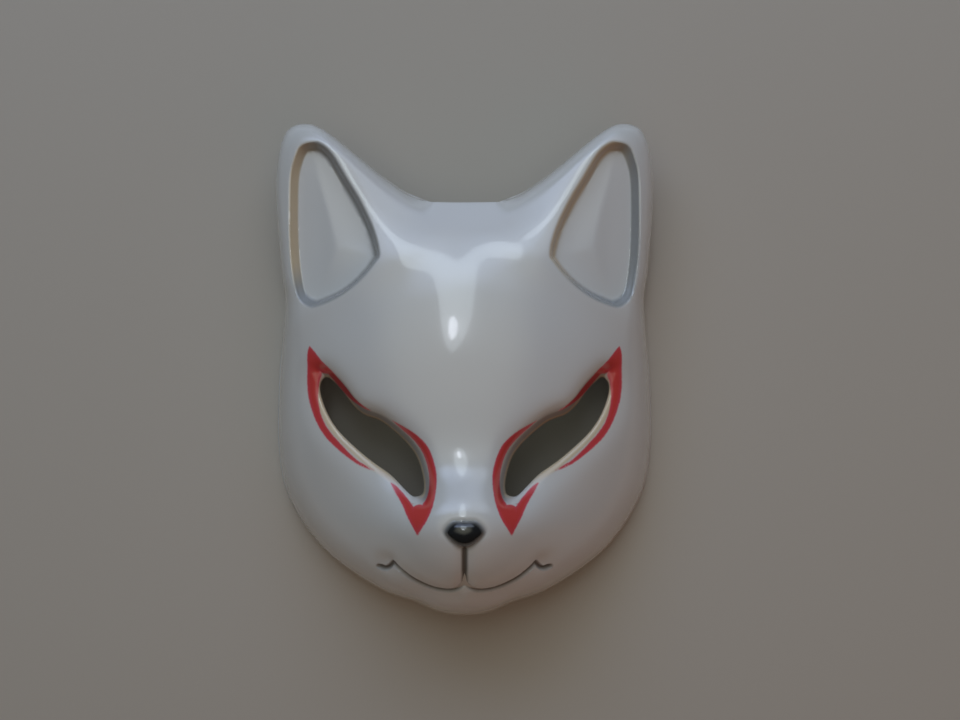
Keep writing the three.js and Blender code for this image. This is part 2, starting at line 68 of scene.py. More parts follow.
GROOVE_WIDTH, GROOVE_DEPTH, LIP_FOLD, UPPER_LIP_WIDTH, LOWER_LIP_WIDTH = 2.6, 1.4, 1.8, 3.6, 9
PHILTRUM_DEPTH, PHILTRUM_WIDTH, DIMPLE_DEPTH, DIMPLE_WIDTH = 1.3, 3, 1.1, 4.2
CORD_HOLE_RADIUS, CORD_HOLE_Y, CORD_HOLE_SETBACK, CORD_HOLE_ROUNDING = 2, 6, 12, 0.5
HALF = np.array([WIDTH / 2, HEIGHT / 2])
print("the face is", WIDTH, "by", HEIGHT, "mm with a wall of", WALL, "mm")

# %% [markdown]
# ## The drawing of the face
#
# A mould starts from a drawing of the front. Each line is given by a few points on its right
# half and runs smoothly through them, as a bent spline does. A Catmull-Rom curve does this and
# needs no handles, so it is easier to draw with than a Bezier curve.

# %% Points of the plan
CROWN_CORNER = (0.171, 0.662)
OUTLINE = [
    CROWN_CORNER, (0.42, 0.788), (0.689, 0.956), (0.816, 1), (0.933, 0.955), (0.981, 0.754),
    (0.976, 0.434), (0.961, 0.309), (0.981, 0.123), (1, -0.065), (1, -0.32), (0.94, -0.526),
    (0.753, -0.734), (0.469, -0.886), (0.262, -0.942), (0.13, -0.985), (0, -0.998),
]
EYE = [
    (0.725, -0.019), (0.736, -0.074), (0.702, -0.152), (0.643, -0.221), (0.559, -0.282),
    (0.466, -0.337), (0.375, -0.38), (0.32, -0.416), (0.276, -0.445), (0.25, -0.451),
    (0.222, -0.425), (0.219, -0.382), (0.243, -0.321), (0.287, -0.276), (0.357, -0.228),
    (0.434, -0.187), (0.527, -0.161), (0.585, -0.123), (0.633, -0.077), (0.676, -0.043),
]
RECESS = [
    (0.762, 0.897), (0.826, 0.88), (0.862, 0.822), (0.88, 0.753), (0.884, 0.62), (0.882, 0.487),
    (0.869, 0.384), (0.843, 0.3), (0.785, 0.254), (0.726, 0.251), (0.612, 0.286), (0.512, 0.343),
    (0.432, 0.413), (0.409, 0.454), (0.44, 0.552), (0.505, 0.66), (0.571, 0.745), (0.65, 0.846),
    (0.712, 0.89),
]
NOSE = [
    (0, -0.537), (0.057, -0.541), (0.092, -0.576), (0.065, -0.608), (0.026, -0.631), (0, -0.638),
]
PHILTRUM = [(0, -0.648), (0, -0.795)]
MOUTH = [
    (0, -0.795), (0.028, -0.814), (0.068, -0.824), (0.13, -0.822), (0.195, -0.808),
    (0.255, -0.782), (0.307, -0.75), (0.355, -0.718),
]
MOUTH_CORNER = [(0.355, -0.718), (0.387, -0.743), (0.425, -0.737)]


def smooth_curve(points, closed=False, steps=16):
    """Points of a Catmull-Rom curve through the given points."""
    p = np.array(points, float)
    p = np.concatenate([p[-1:], p, p[:2]] if closed else [p[:1], p, p[-1:]])
    t = (np.arange(steps) / steps)[:, None]
    pieces = []
    for a, b, c, d in zip(p, p[1:], p[2:], p[3:]):
        start, end = (c - a) / 2, (d - b) / 2
        bend = (2 * b - 2 * c + start + end) * t**3 + (3 * c - 3 * b - 2 * start - end) * t**2
        pieces.append(bend + start * t + b)
    return np.concatenate(pieces if closed else [*pieces, p[-2:-1]])


def line_of(shares, closed=False):
    return smooth_curve(np.array(shares) * HALF, closed)


eye_line, recess_line = line_of(EYE, True), line_of(RECESS, True)
nose_line = line_of(NOSE + [(-x, y) for x, y in NOSE[-2:0:-1]], True)
mouth_lines = [line_of(points) for points in (PHILTRUM, MOUTH, MOUTH_CORNER)]
philtrum_line, mouth_line, _ = mouth_lines
print("the eye's line has", len(eye_line), "points, the ear recess's", len(recess_line))

# %% [markdown]
# ## Soft steps and distances
#
# Nothing on the mask changes abruptly, so every height is blended with soft steps. The relief
# and the paint both follow lines of the drawing, so both are read from the distance to a line.

# %% Steps and distances
def share(start, end, x):
    return np.clip((x - start) / np.maximum(end - start, 1e-9), 0, 1)


def mix(a, b, t):
    return a + (b - a) * t


def step(start, end, x):
    t = share(start, end, x)
    return t**3 * (t * (6 * t - 15) + 10)


def ramp(x, softness):
    return (x + np.hypot(x, softness)) / 2


def unit(v):
    return v / np.linalg.norm(v, axis=-1, keepdims=True)


def distance_to(p, line, closed=False):
    """The distance of each point to the nearest piece of a line."""
    ends = np.concatenate([line, line[:1]]) if closed else line
    best = np.full(len(p), np.inf)
    for a, b in zip(ends, ends[1:]):
        along = b - a
        t = np.clip((p - a) @ along / max(along @ along, 1e-12), 0, 1)
        off = p - a - t[:, None] * along
        best = np.minimum(best, np.hypot(off[:, 0], off[:, 1]))
    return best


def inside(p, loop):
    within = np.zeros(len(p), bool)
    for a, b in zip(loop, np.roll(loop, 1, axis=0)):
        crossed = (a[1] > p[:, 1]) != (b[1] > p[:, 1])
        rise = b[1] - a[1] if b[1] != a[1] else 1
        within ^= crossed & (p[:, 0] < a[0] + (p[:, 1] - a[1]) * (b[0] - a[0]) / rise)
    return within


def depth_inside(p, loop):
    return np.where(inside(p, loop), 1, -1) * distance_to(p, loop, True)


print("half way up a soft step is", step(0, 2, np.array([1.0]))[0])

# %% [markdown]
# ## The outline as a radius
#
# The rim is easiest to follow as a radius for each angle about a centre low on the forehead:
# one number for each direction. Between the ears the mask is cut off straight.

# %% The outline
CENTRE_Y = -0.066 * HALF[1]
ANGLES = np.radians(np.linspace(-90, 90, 1801))
OUTLINE_STEPS, SMOOTHING_PASSES = 120, 75


def outline_radii():
    past_chin = (-OUTLINE[-2][0], OUTLINE[-2][1])
    curve = smooth_curve(np.array([*OUTLINE, past_chin]) * HALF, steps=OUTLINE_STEPS)
    curve = curve[curve[:, 0] >= 0] - (0, CENTRE_Y)
    angle = np.arctan2(curve[:, 1], curve[:, 0])
    order = np.argsort(angle)
    radii = np.interp(ANGLES, angle[order], np.hypot(*curve[order].T))
    corner = np.array(CROWN_CORNER) * HALF - (0, CENTRE_Y)
    cut = ANGLES >= math.atan2(corner[1], corner[0])
    radii[cut] = corner[1] / np.sin(ANGLES[cut])
    for _ in range(SMOOTHING_PASSES):
        ends = np.concatenate([radii[1:2], radii, radii[-2:-1]])
        radii = (ends[:-2] + 2 * radii + ends[2:]) / 4
    return radii


RADII = outline_radii()
print("the outline's radius runs from %.1f to %.1f mm" % (RADII.min(), RADII.max()))

# %% [markdown]
# ## The skin
#
# The face is a dome with a muzzle raised from its lower half, and each ear is a leaning plane
# that joins the dome softly. One height for each place of the plan gives a smoother skin than
# sculpted or extruded pieces would. The steep sides can't be a height over the plan, so the plan
# is unrolled past the outline, and the skin turns over there down to an upright lip.

# %% Heights of the skin
DOME_POWER, MUZZLE_POWER = 2.4, 2.5
DOME_UP, DOME_DOWN = 0.772 * HALF[1], 1.175 * HALF[1]
MUZZLE_Y, MUZZLE_ACROSS = -0.609 * HALF[1], 0.33 * HALF[0]
MUZZLE_UP, MUZZLE_DOWN = 0.16 * HALF[1], 0.25 * HALF[1]
EAR_FOOT = HALF * (0.404, 0.478)
EAR_RIDGE, ACROSS_RIDGE = HALF * (0.37, 0.466), np.array([-0.877, 0.48])
EAR_BASE, ACROSS_BASE = HALF * (0.34, 0.415), np.array([-0.512, -0.858])
TO_CROWN, TO_HIGH_RIM, TO_EARS = np.radians([(72, 82), (20, 56), (10, 40)])
NUDGE, HALVINGS = 0.05, 30


def head_height(x, y):
    dome = np.hypot(x / HALF[0], y / np.where(y > 0, DOME_UP, DOME_DOWN)) ** DOME_POWER
    off_y = (y - MUZZLE_Y) / np.where(y > MUZZLE_Y, MUZZLE_UP, MUZZLE_DOWN)
    muzzle = np.exp(-(np.hypot(x / MUZZLE_ACROSS, off_y) ** MUZZLE_POWER) / 2)
    return FOREHEAD_DEPTH - DOME_DROP * dome + MUZZLE_RISE * muzzle


def ear_height(x, y):
    across = np.hypot(x, SOFT_JOIN)
    front = EAR_DEPTH - EAR_LEAN_OUT * (across - EAR_FOOT[0]) + EAR_LEAN_UP * (y - EAR_FOOT[1])
    past_ridge = (across - EAR_RIDGE[0]) * ACROSS_RIDGE[0] + (y - EAR_RIDGE[1]) * ACROSS_RIDGE[1]
    past_base = (across - EAR_BASE[0]) * ACROSS_BASE[0] + (y - EAR_BASE[1]) * ACROSS_BASE[1]
    return front - EAR_RIDGE_FALL * ramp(past_ridge, SOFT_JOIN) - ramp(past_base, SOFT_JOIN)


def skin_height(x, y):
    ear = ear_height(x, y)
    return ear + ramp(head_height(x, y) - ear, EAR_BLEND)


def edge_at(angle):
    """The outline's radius, the crown's share and the rim's height at an angle, and how far out
    the skin starts to turn over, how far out its lip starts, and where it ends."""
    radius = np.interp(angle, ANGLES, RADII)
    crown = step(*TO_CROWN, angle)
    rim = EAR_RIM_HEIGHT * step(*TO_HIGH_RIM, angle)
    on_ears = step(*TO_EARS, angle)
    start = radius * mix(EDGE_START_ON_FACE, EDGE_START_ON_EARS, on_ears)
    height = skin_height(radius * np.cos(angle), CENTRE_Y + radius * np.sin(angle))
    reach = radius + SIDE_STRETCH * np.maximum(0, height - rim) * (1 - crown)
    lip = reach - LIP_SHARE * (1 - crown) * (reach - start)
    return radius, crown, rim, start, lip, reach


def skin_points(uv):
    """Places of the unrolled plan on the skin, without fine relief."""
    angle = np.arctan2(uv[:, 1] - CENTRE_Y, np.abs(uv[:, 0]))
    rho = np.hypot(uv[:, 0], uv[:, 1] - CENTRE_Y)
    radius, crown, rim, start, lip, reach = edge_at(angle)
    turned, on_lip = share(start, lip, rho), share(lip, reach, rho)
    over = mix(np.sin(turned * math.pi / 2), turned, crown)
    flare = LIP_FLARE * (1 - crown)
    bent = mix(start, radius - flare, over) + flare * on_lip**3
    r = np.where(rho > start, bent, rho)
    x, y = np.sign(uv[:, 0]) * r * np.cos(angle), CENTRE_Y + r * np.sin(angle)
    foot = rim + LIP_HEIGHT
    kept = mix(np.sqrt(1 - over**3), 1, crown)
    z = foot + (skin_height(x, y) - foot) * kept - LIP_HEIGHT * on_lip * (1 - crown)
    return np.stack([x, y, z], axis=1)


def skin_ways(uv):
    """The skin's directions along the plan and out of it."""
    right, up = np.array([NUDGE, 0]), np.array([0, NUDGE])
    along_u = (skin_points(uv + right) - skin_points(uv - right)) / (2 * NUDGE)
    along_v = (skin_points(uv + up) - skin_points(uv - up)) / (2 * NUDGE)
    return along_u, along_v, unit(np.cross(along_u, along_v))


def unrolled(p):
    """The places of the unrolled plan for points of the plan, found by halving the way."""
    angle = np.arctan2(p[:, 1] - CENTRE_Y, p[:, 0])
    r = np.hypot(p[:, 0], p[:, 1] - CENTRE_Y)
    radius, crown, _, start, lip, _ = edge_at(angle)
    over = share(start, radius - LIP_FLARE * (1 - crown), r)
    low, high = np.zeros(len(p)), np.ones(len(p))
    for _ in range(HALVINGS):
        middle = (low + high) / 2
        short = mix(np.sin(middle * math.pi / 2), middle, crown) < over
        low, high = np.where(short, middle, low), np.where(short, high, middle)
    rho = np.where(r > start, mix(start, lip, low), r)
    return np.stack([rho * np.cos(angle), CENTRE_Y + rho * np.sin(angle)], axis=1)


top = skin_points(np.array([[0.001, 0], [0.001, MUZZLE_Y]]))[:, 2]
print("forehead %.1f mm and muzzle %.1f mm above the rim" % tuple(top))

# %% [markdown]
# ## Relief
#
# The carver's work on the mould: sockets pressed in round the eyes under a brow that falls away,
# a recess with a domed panel in each ear, the nose as a low dome with a moat round it, and the
# cut line of the mouth. The lips fold into that line, a shallow valley runs down to it from the
# nose, and a dimple marks its corner. Each is a height along the skin's normal, so it keeps its
# form where the skin slopes, and each fades out softly, as forms do under thick lacquer.

# %% Relief of the face
EYE_TOP, EYE_BOTTOM = HALF * (0.7, -0.05), HALF * (0.245, -0.44)
MOUTH_DIMPLE, NOSE_MIDDLE = HALF * (0.39, -0.712), -0.583 * HALF[1]
BROW_BLEND, OUTER_SIDE = 3, (0.7, 0.86)
LIP_BLEND, FOLD_AT_CORNER, FOLD_FADES = 1.5, 0.35, (15, 33)
NOSE_ROUNDNESS, MOAT_DEPTH, MOAT_AT, MOAT_WIDTH = 2.4, 0.45, 1.08, 0.13


def above_eye(p):
    """One on the brow's side of the eye's long axis, nought on the cheek's side."""
    along = EYE_TOP - EYE_BOTTOM
    across = np.array([-along[1], along[0]]) / np.linalg.norm(along)
    return step(-BROW_BLEND, BROW_BLEND, (p - EYE_BOTTOM) @ across)


def socket_relief(p):
    away = np.maximum(0, -depth_inside(p, eye_line))
    brow = BROW_FALL * above_eye(p) * np.exp(-((away / BROW_FALL_WIDTH) ** 2))
    return -SOCKET_DEPTH * np.exp(-((away / SOCKET_WIDTH) ** 2)) - brow


def into_recess(p, margin):
    """Depth into the recess, stretched where its wall is gentler, towards the face's middle."""
    outer_side = step(*OUTER_SIDE, np.abs(p[:, 0]) / HALF[0])
    return (depth_inside(p, recess_line) + margin) / mix(SOFT_WALL, 1, outer_side)


def recess_relief(p, margin):
    within = into_recess(p, margin)
    panel = PANEL_RISE * step(RECESS_WALL, RECESS_WALL + PANEL_SLOPE, within)
    return panel - RECESS_DEPTH * step(0, RECESS_WALL, within)


def mouth_relief(p):
    """The cut line with the lips folded into it, the valley under the nose and the dimple."""
    away = np.min([distance_to(p, line) for line in mouth_lines], axis=0)
    groove = GROOVE_DEPTH * (1 - step(0, GROOVE_WIDTH / 2, away))
    across = distance_to(p, mouth_line)
    line_y = np.interp(p[:, 0], mouth_line[:, 0], mouth_line[:, 1])
    under = step(-LIP_BLEND, LIP_BLEND, line_y - p[:, 1])
    upper = np.exp(-((across / UPPER_LIP_WIDTH) ** 2))
    lower = 1 - step(0, LOWER_LIP_WIDTH, across)
    fade = mix(1, FOLD_AT_CORNER, step(*FOLD_FADES, p[:, 0]))
    fold = LIP_FOLD * mix(upper, lower, under) * fade
    valley = PHILTRUM_DEPTH * np.exp(-((distance_to(p, philtrum_line) / PHILTRUM_WIDTH) ** 2))
    off = np.hypot(*(p - MOUTH_DIMPLE).T)
    return -groove - fold - valley - DIMPLE_DEPTH * np.exp(-((off / DIMPLE_WIDTH) ** 2))


def nose_relief(p):
    """A dome over the nose's outline, with a shallow moat round it."""
    off, rim = p - (0, NOSE_MIDDLE), nose_line - (0, NOSE_MIDDLE)
    angle, rim_angle = np.arctan2(off[:, 1], off[:, 0]), np.arctan2(rim[:, 1], rim[:, 0])
    radius = np.interp(angle, rim_angle, np.hypot(rim[:, 0], rim[:, 1]), period=2 * math.pi)
    part = np.hypot(off[:, 0], off[:, 1]) / radius
    dome = NOSE_RISE * (1 - np.minimum(part, 1) ** NOSE_ROUNDNESS)
    return dome - MOAT_DEPTH * np.exp(-(((part - MOAT_AT) / MOAT_WIDTH) ** 2))


def face_relief(p):
    return socket_relief(p) + recess_relief(p, 0) + nose_relief(p) + mouth_relief(p)


def wall_relief(p):
    return socket_relief(p) + recess_relief(p, WALL)


print("the recess is %.1f mm deep at its edge" % RECESS_DEPTH)

# %% [markdown]
# ## Points on the unrolled plan
#
# Triangles of about one size shade evenly in gloss, and small ones are only needed where the
# relief or the paint turns sharply. So points are set in rows along those lines first, then on a
# fine net near them and a wider net elsewhere, each point only where it is clear of the others.

# %% Setting out points
NET, FINE_NET, NEAR_LINES, EYE_STEP = 1.6, 0.75, 2.4, 1.0
CLEAR_ON_LINE, CLEAR_ON_NET, SAME_POINT = 0.35, 0.62, 1e-6


def cell_of(p):
    return int(p[0] // NET), int(p[1] // NET)


class PointSheet:
    """Points of the right half, in cells, so that near ones are found quickly."""

    def __init__(self):
        self.points, self.cells, self.edges = [], {}, []

    def clear(self, p, gap):
        """Whether no point lies within the gap."""
        i, j = cell_of(p)
        cells = (self.cells.get((i + a, j + b), ()) for a in (-1, 0, 1) for b in (-1, 0, 1))
        near = (q for cell in cells for q in cell)
        return all((q[0] - p[0]) ** 2 + (q[1] - p[1]) ** 2 > gap * gap for q in near)

    def add(self, p):
        p = (float(p[0]), float(p[1]))
        self.points.append(p)
        self.cells.setdefault(cell_of(p), []).append(p)
        return len(self.points) - 1

    def add_line(self, line, gap=0, closed=False):
        """Adds a row of points, and holds an edge between each two that follow each other."""
        found = [self.add(p) if not gap or self.clear(p, gap) else None for p in line]
        pairs = zip(found, found[1:] + found[:1] if closed else found[1:])
        self.edges += [(a, b) for a, b in pairs if a is not None and b is not None]
        return found


def spaced(line, gap, closed=False):
    ends = np.concatenate([line, line[:1]]) if closed else line
    along = np.concatenate([[0], np.cumsum(np.hypot(*np.diff(ends, axis=0).T))])
    count = math.ceil(along[-1] / gap)
    at = np.linspace(0, along[-1], count + 1)[: count if closed else count + 1]
    return np.stack([np.interp(at, along, ends[:, 0]), np.interp(at, along, ends[:, 1])], axis=1)


def beside(line, distance, closed=False):
    """The line moved to its left, which is outwards for the loops of the drawing."""
    if closed:
        along = np.roll(line, -1, axis=0) - np.roll(line, 1, axis=0)
    else:
        along = np.gradient(line, axis=0)
    along = unit(along)
    return line + distance * np.stack([-along[:, 1], along[:, 0]], axis=1)


def cord_hole_ring(radius, corners=24):
    """A true circle on the skin at the temple, as a loop of the unrolled plan."""
    angle = math.atan2(CORD_HOLE_Y - CENTRE_Y, HALF[0])
    *_, reach = edge_at(np.array([angle]))
    rho = reach[0] - CORD_HOLE_SETBACK
    middle = np.array([[rho * math.cos(angle), CENTRE_Y + rho * math.sin(angle)]])
    along_u, along_v, out = (way[0] for way in skin_ways(middle))
    across = along_u / np.linalg.norm(along_u)
    turn = -2 * math.pi * np.arange(corners)[:, None] / corners
    ring = radius * (np.cos(turn) * across + np.sin(turn) * np.cross(out, across))
    to_plan = np.linalg.pinv(np.stack([along_u, along_v], axis=1))
    return middle + ring @ to_plan.T


def rim_row(inset):
    *_, reach = edge_at(ANGLES)
    row = spaced(np.stack([reach * np.cos(ANGLES), reach * np.sin(ANGLES)], axis=1), NET)
    row *= 1 - inset / np.hypot(row[:, 0], row[:, 1])[:, None]
    row[[0, -1], 0] = 0
    return row + (0, CENTRE_Y)


print("a cord hole's ring has", len(cord_hole_ring(CORD_HOLE_RADIUS)), "points")

# %% [markdown]
# ## Brush strokes
#
# The red is brushed on: a stroke swells and runs out to a point, so each is a centre line with
# half a width at each of its points. A stroke's edge is where the distance to the centre line
# equals that half width. That signed distance is kept on the mesh, and the material turns it into
# paint with an edge as soft as the brush left it.

# %% The brush strokes
OUTER_STROKE = [
    (0.770, 0.103, 0.14), (0.766, 0.074, 1.53), (0.763, 0.020, 2.47), (0.768, -0.035, 2.54),
    (0.768, -0.092, 2.05), (0.752, -0.147, 1.60), (0.724, -0.198, 1.41), (0.685, -0.241, 1.43),
    (0.638, -0.277, 1.27), (0.589, -0.310, 0.97), (0.537, -0.340, 0.65), (0.489, -0.358, 0.50),
    (0.454, -0.369, 0.09),
]
BROW_STROKE = [
    (0.770, 0.103, 0.14), (0.754, 0.074, 1.29), (0.730, 0.039, 1.87), (0.697, 0.008, 1.91),
    (0.654, -0.031, 1.86), (0.608, -0.071, 1.81), (0.571, -0.099, 1.29), (0.530, -0.120, 0.83),
    (0.494, -0.137, 0.51), (0.469, -0.145, 0.09),
]
NOSE_STROKE = [
    (0.223, -0.595, 0.13), (0.213, -0.564, 1.11), (0.198, -0.523, 2.45), (0.178, -0.474, 2.68),
    (0.161, -0.419, 2.16), (0.158, -0.374, 2.03), (0.171, -0.326, 1.90), (0.199, -0.279, 1.86),
    (0.242, -0.243, 1.55), (0.289, -0.216, 1.14), (0.329, -0.196, 0.59), (0.360, -0.180, 0.09),
]
TEAR_STROKE = [
    (0.223, -0.595, 0.13), (0.235, -0.558, 1.34), (0.257, -0.518, 2.13), (0.289, -0.480, 1.80),
    (0.321, -0.449, 1.41), (0.346, -0.427, 0.96), (0.369, -0.410, 0.23),
]
TIP_FILL = [(0.748, 0.05, 1.6), (0.73, 0.028, 2.2), (0.716, 0.014, 1.6)]
CORNER_FILL = [
    (0.223, -0.595, 0.1), (0.225, -0.57, 1.2), (0.227, -0.545, 2.2), (0.222, -0.51, 3.8),
]
BARE_LIP = 2.7
strokes = [OUTER_STROKE, BROW_STROKE, NOSE_STROKE, TEAR_STROKE, TIP_FILL]


def inside_stroke(p, stroke):
    """Millimetres inside one stroke, negative outside."""
    dabs = smooth_curve(np.array(stroke) * (*HALF, 1))
    return np.max([size - np.hypot(p[:, 0] - x, p[:, 1] - y) for x, y, size in dabs], axis=0)


def inside_strokes(p):
    """Millimetres inside the nearest stroke. The corner is filled up to the eye's bare lip."""
    off_the_lip = -depth_inside(p, eye_line) - BARE_LIP
    corner = np.minimum(inside_stroke(p, CORNER_FILL), off_the_lip)
    return np.max([corner, *(inside_stroke(p, stroke) for stroke in strokes)], axis=0)


widest = max(2 * dab[2] for stroke in strokes for dab in stroke)
print("the strokes are up to %.1f mm wide" % widest)

# %% [markdown]
# ## The right half of the face
#
# The net of points is joined into triangles by Blender's constrained Delaunay function, which
# keeps the edges along the lines. The rounded edges of the rim, the eyes and the cord holes are
# narrow strips of faces that follow their loops, because even triangles can't turn so tightly.

# %% Rounded edges, the rows of points
ROUNDING_STEPS, EYE_SINK = 6, 0.85 * WALL


def rounded_rows(row_at, depth):
    """Rows that turn over an edge, each with how far it sinks into the wall."""
    turns = np.radians(np.linspace(0, 90, ROUNDING_STEPS + 1))
    return [(row_at(1 - math.sin(turn)), depth * (1 - math.cos(turn))) for turn in turns]


eye_stations = spaced(eye_line, EYE_STEP, True)
rim_rows = rounded_rows(lambda part: rim_row(RIM_ROUNDING * part), RIM_ROUNDING)
eye_rows = rounded_rows(lambda part: beside(eye_stations, EYE_ROLL * part, True), EYE_SINK)
hole_rows = rounded_rows(
    lambda part: cord_hole_ring(CORD_HOLE_RADIUS + CORD_HOLE_ROUNDING * part), CORD_HOLE_ROUNDING
)
print(len(rim_rows), "rows turn over each edge")

# %% Points along the lines
sheet = PointSheet()
rim_start = sheet.add_line(rim_rows[0][0])
eye_start = sheet.add_line(eye_rows[0][0], closed=True)
hole_start = sheet.add_line(hole_rows[0][0], closed=True)
low, high = rim_rows[0][0][0, 1], rim_rows[0][0][-1, 1]
axis = np.linspace(low, high, math.ceil((high - low) / FINE_NET) + 1)[1:-1]
axis_points = sheet.add_line(np.stack([0 * axis, axis], axis=1))
sheet.edges += [(rim_start[0], axis_points[0]), (axis_points[-1], rim_start[-1])]

groove_rows = GROOVE_WIDTH / 2 * np.array([0, 0.5, -0.5, 1, -1])
wall_rows = np.linspace(0, -1, 5)
carved = [(line, groove_rows, False) for line in mouth_lines]
carved.append((nose_line[: len(nose_line) // 2 + 1], NOSE_EDGE * wall_rows, False))
carved.append((recess_line, RECESS_WALL * wall_rows, True))
for line, offsets, closed in carved:
    stations = spaced(line, FINE_NET, closed)
    for offset in offsets:
        row = unrolled(beside(stations, offset, closed))
        sheet.add_line(row[row[:, 0] > FINE_NET / 2], CLEAR_ON_LINE * FINE_NET, closed)
print(len(sheet.points), "points along the lines")


# %% Triangles of the right half
def on_skin(p):
    """Whether points lie within the rim, and not in the eye or the cord hole."""
    in_hole = inside(p, eye_rows[0][0]) | inside(p, hole_rows[0][0])
    return inside(p, rim_rows[0][0]) & ~in_hole


def hexagonal_net(gap):
    line = np.arange(gap, 2 * HALF[0], gap)
    levels = np.arange(-2 * HALF[1], 2 * HALF[1], gap * math.sqrt(3) / 2)
    rows = [
        np.stack([line - gap / 2 * (k % 2), np.full(len(line), v)], axis=1)
        for k, v in enumerate(levels)
    ]
    net = np.concatenate(rows)
    return net[on_skin(net)]


fine = hexagonal_net(FINE_NET)
plan = skin_points(fine)[:, :2]
away = np.min([distance_to(plan, line) for line in mouth_lines], axis=0)
near = (away < NEAR_LINES) | (inside_strokes(plan) > -NEAR_LINES / 2)
near |= np.abs(depth_inside(plan, nose_line)) < NEAR_LINES
near |= np.abs(depth_inside(plan, recess_line) - RECESS_WALL / 2) < NEAR_LINES
near |= distance_to(plan, eye_line, True) < EYE_ROLL + NEAR_LINES / 2
for net, gap in ((fine[near], FINE_NET), (hexagonal_net(NET), NET)):
    for p in net:
        if sheet.clear(p, CLEAR_ON_NET * gap):
            sheet.add(p)
print(len(sheet.points), "points on the right half")

joined_net = geometry.delaunay_2d_cdt(sheet.points, sheet.edges, [], 0, SAME_POINT)
uv, triangles, sources = np.array(joined_net[0]), np.array(joined_net[2]), joined_net[3]
kept_as = {old: new for new, olds in enumerate(sources) for old in olds}
triangles = triangles[on_skin(uv[triangles].mean(axis=1))]
print(len(triangles), "triangles between the edges")

# %% Rounded edges of the right half
sinks = [np.zeros(len(uv))]
strips, plans = [], [uv]
count = len(uv)
for start, rows, closed in (
    (rim_start, rim_rows, False), (eye_start, eye_rows, True), (hole_start, hole_rows, True)
):
    last = np.array([kept_as[i] for i in start])
    for row, sink in rows[1:]:
        here = count + np.arange(len(row))
        count += len(row)
        plans.append(row)
        sinks.append(np.full(len(row), sink))
        pairs = (last, here, np.roll(here, -1), np.roll(last, -1))
        strips.append(np.stack(pairs, axis=1)[: None if closed else -1])
        last = here
uv, sink = np.concatenate(plans), np.concatenate(sinks)
strips = np.concatenate(strips)
print(len(strips), "faces on the rounded edges")

# %% [markdown]
# ## The skin with its wall directions
#
# Each point also keeps the way into the wall. Over most of the face that is straight against the
# skin. At the rim it is level, so that the mask lies flat, and round the eyes it runs straight
# back, so that the eye holes look clean from the front.

# %% Points, wall directions and paint of the whole skin
EYE_WAY_REACH, SHADE_WIDER, ON_AXIS = 3 * EYE_ROLL, (0.5, 0, 0.2), 1e-5


def whole_skin():
    base = skin_points(uv)
    plan = base[:, :2]
    out = skin_ways(uv)[2]
    _, crown, _, start, lip, _ = edge_at(np.arctan2(uv[:, 1] - CENTRE_Y, uv[:, 0]))
    level = step(start, lip, np.hypot(uv[:, 0], uv[:, 1] - CENTRE_Y)) * (1 - crown)
    way = -out
    way[:, 2] *= 1 - level
    off_eye = -depth_inside(plan, eye_line)
    at_eye = 1 - step(EYE_ROLL, EYE_WAY_REACH, off_eye)[:, None]
    way = unit(mix(unit(way), np.array([0, 0, -1]), at_eye))
    outer = base + out * face_relief(plan)[:, None] + way * sink[:, None]
    gap = base + out * wall_relief(plan)[:, None] - outer
    shades = [distance_to(plan, line) - wider for line, wider in zip(mouth_lines, SHADE_WIDER)]
    paints = {
        "red_paint": inside_strokes(plan),
        "nose_paint": depth_inside(plan, nose_line),
        "mouth_line": np.min(shades, axis=0),
        "eye_edge": off_eye,
        "brow_side": above_eye(plan),
        "ear_wall": into_recess(plan, 0),
    }
    return outer, way, gap, paints


outer, way, gap, paints = whole_skin()
print(len(outer), "points on the right half, with", len(paints), "values for the paint")

# %% Both halves as one mesh
on_axis = np.abs(outer[:, 0]) < ON_AXIS
mirrored = np.where(on_axis, np.arange(len(outer)), len(outer) + np.cumsum(~on_axis) - 1)
flip = np.array([-1, 1, 1])


def both_sides(values, turn=1):
    return np.concatenate([values, values[~on_axis] * turn])


def store(name, kind, field, values):
    skin.attributes.new(name, kind, "POINT").data.foreach_set(field, values.ravel())


skin = bpy.data.meshes.new("mask_skin")
faces = [*triangles.tolist(), *strips.tolist()]
faces += [*mirrored[triangles[:, ::-1]].tolist(), *mirrored[strips[:, ::-1]].tolist()]
skin.from_pydata((both_sides(outer, flip) * MM).tolist(), [], faces)
store("wall_way", "FLOAT_VECTOR", "vector", both_sides(way, flip))
store("relief_gap", "FLOAT_VECTOR", "vector", both_sides(gap * MM, flip))
for name, values in paints.items():
    store(name, "FLOAT", "value", both_sides(values))
skin.polygons.foreach_set("use_smooth", [True] * len(skin.polygons))
skin.update()
print("the skin has", len(skin.polygons), "faces")

# %% [markdown]
# ## The white lacquer
#
# The real surface is ABS, sprayed with a glossy lacquer: a hard, clear shine over a nearly even
# cool white, with the faint waviness that sprayed paint dries to. Lacquer draws back from cut
# edges, so the cream of the resin shows along the eyes, warmed there by a painted reflection.
# The recess walls carry painted shade: a warm cream on the walls that face right, as a painted
# reflection of warm light, and grey on the others. Brown painted shade sits in the mouth's line,
# and grey-brown painted shade under the brow, where the eye's edge turns away from the light.
# The strokes are brushed enamel with soft edges, and the nose is airbrushed with a wide, soft
# edge. The inside is bare primer, rougher and duller.
#
# A Principled shader with a coat gives the shine, and the stored distances say where the paint
# is. Each shade has two limits, in millimetres off its line or in metres on the face.

# %% A node at a time, and colours
def add_node(tree, kind, links=(), **settings):
    """Adds a node with its settings. A link's value is another node's output or a plain value."""
    node = tree.nodes.new(kind)
    for name, value in settings.items():
        setattr(node, name, value)
    for socket, value in dict(links).items():
        if isinstance(value, bpy.types.NodeSocket):
            tree.links.new(value, node.inputs[socket])
        else:
            node.inputs[socket].default_value = value
    return node


